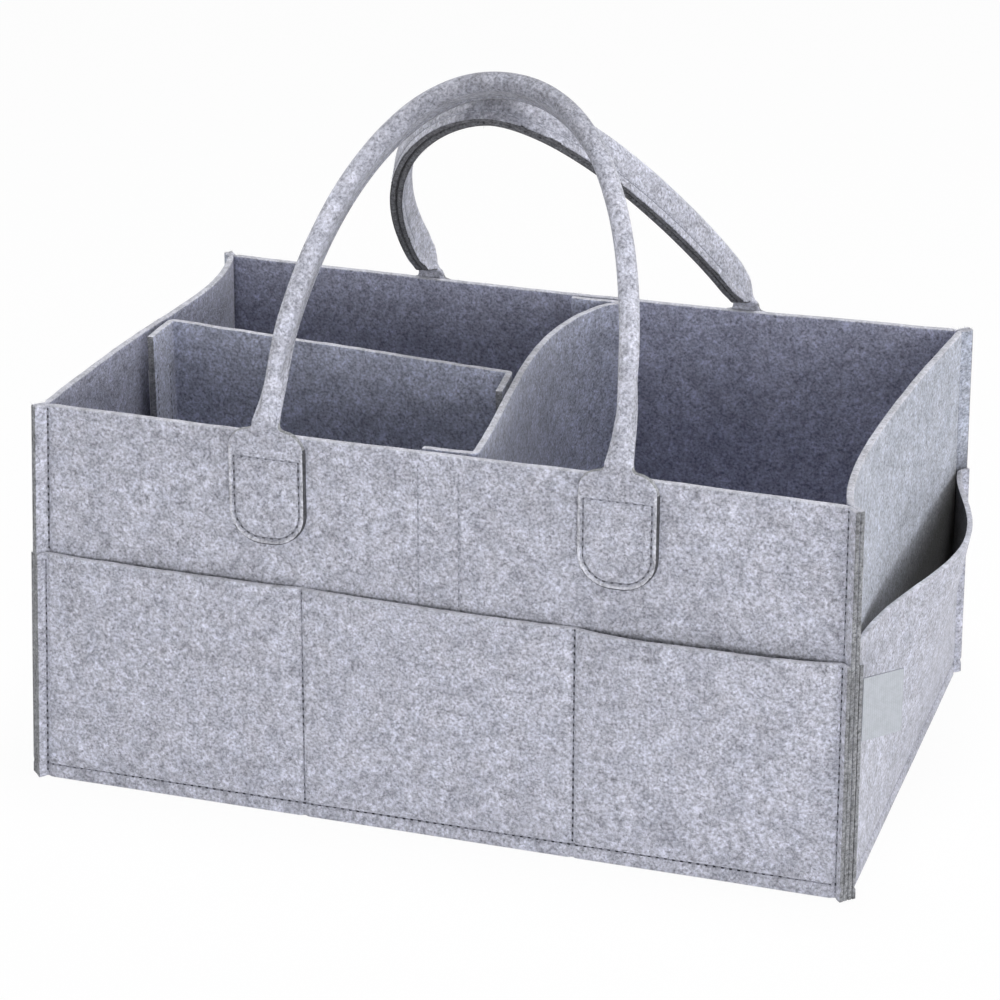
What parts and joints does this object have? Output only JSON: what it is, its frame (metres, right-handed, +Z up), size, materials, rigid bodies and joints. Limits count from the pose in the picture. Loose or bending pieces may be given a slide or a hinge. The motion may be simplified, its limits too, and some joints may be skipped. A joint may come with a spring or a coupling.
{
  "type": "diaper caddy",
  "caption": "Open rectangular felt storage box with outer pockets, removable inner dividers and folded felt carrying handles.",
  "frame": {"origin": "middle of the footprint, on the floor", "axes": "+X along the long side to the right, +Y to the back, +Z up; the side in the picture is the front, -Y"},
  "size_m": [0.4224, 0.2522, 0.3313],
  "materials": {
    "felt": "light grey mottled needle felt, matt, raw cut edges",
    "divider_felt": "grey mottled needle felt, matt",
    "hook_tape": "light grey woven hook tape",
    "label": "blank off-white woven tag"
  },
  "bodies": {
    "shell": {"front_panel": "felt", "back_panel": "felt", "left_end_panel": "felt", "right_end_panel": "felt", "base_panel": "felt", "front_pocket": "felt", "back_pocket": "felt", "left_pocket": "felt", "right_pocket": "felt", "side_label": "label", "front_left_handle_tab": "felt", "front_right_handle_tab": "felt", "back_left_handle_tab": "felt", "back_right_handle_tab": "felt"},
    "front_handle": {"front_handle_grip": "felt"},
    "back_handle": {"back_handle_grip": "felt"},
    "cross_divider": {"cross_divider": "divider_felt", "cross_divider_front_tape": "hook_tape", "cross_divider_back_tape": "hook_tape"},
    "long_divider": {"long_divider": "divider_felt", "long_divider_left_tape": "hook_tape", "long_divider_right_tape": "hook_tape"}
  },
  "joints": [
    {"name": "front_handle_swing", "type": "hinge", "parent": "shell", "child": "front_handle", "pos_m": [0.0045, -0.11498, 0.19], "axis": [1, 0, 0], "range_deg": [0, 150]},
    {"name": "back_handle_swing", "type": "hinge", "parent": "shell", "child": "back_handle", "pos_m": [0.0015, 0.10859, 0.19], "axis": [-1, 0, 0], "range_deg": [0, 150]},
    {"name": "cross_divider_lift", "type": "slide", "parent": "shell", "child": "cross_divider", "axis": [0, 0, 1], "range_m": [0, 0.1]},
    {"name": "long_divider_lift", "type": "slide", "parent": "shell", "child": "long_divider", "axis": [0, 0, 1], "range_m": [0, 0.1]}
  ]
}
